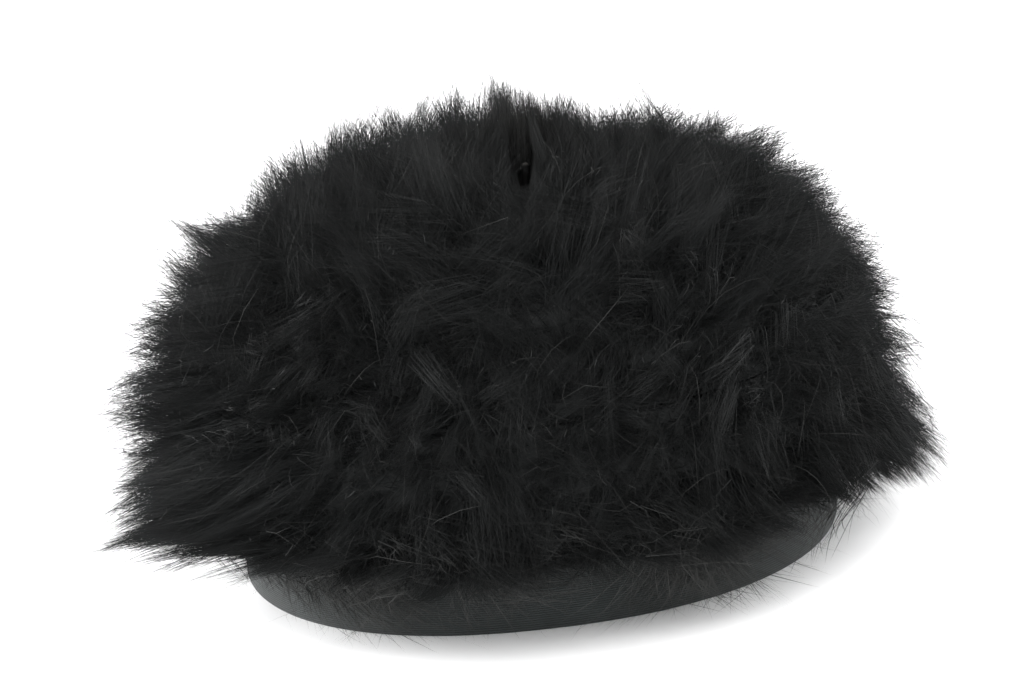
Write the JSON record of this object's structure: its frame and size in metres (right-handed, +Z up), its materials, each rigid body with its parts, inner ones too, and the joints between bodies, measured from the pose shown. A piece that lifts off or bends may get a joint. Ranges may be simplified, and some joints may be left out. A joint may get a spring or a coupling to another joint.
{
  "type": "feather hat",
  "caption": "Round fluffy hat of black marabou down sewn in rings on a hollow cap, with a plain ribbed fabric headband at its rim.",
  "frame": {"origin": "middle of the flat rim that the hat rests on, at the height of the surface it stands on", "axes": "+Z up through the crown, -Y towards the front, the hat's long way front to back along Y, X side to side"},
  "size_m": [0.2439, 0.2639, 0.1285],
  "materials": {
    "band_ribbed": "fine ribbed black fabric, the ribs level with the rim",
    "cap_felt": "plain black felt",
    "down_black": "soft black marabou down with loose strands",
    "stalk_dark": "dark stalk with a pale cut tip"
  },
  "bodies": {
    "root": {"headband": "band_ribbed", "crown_cap": "cap_felt", "fringe_strip": "down_black", "lower_strip": "down_black", "middle_strip": "down_black", "shoulder_strip": "down_black", "crown_rosette": "down_black", "crown_stalk": "stalk_dark"}
  },
  "joints": []
}
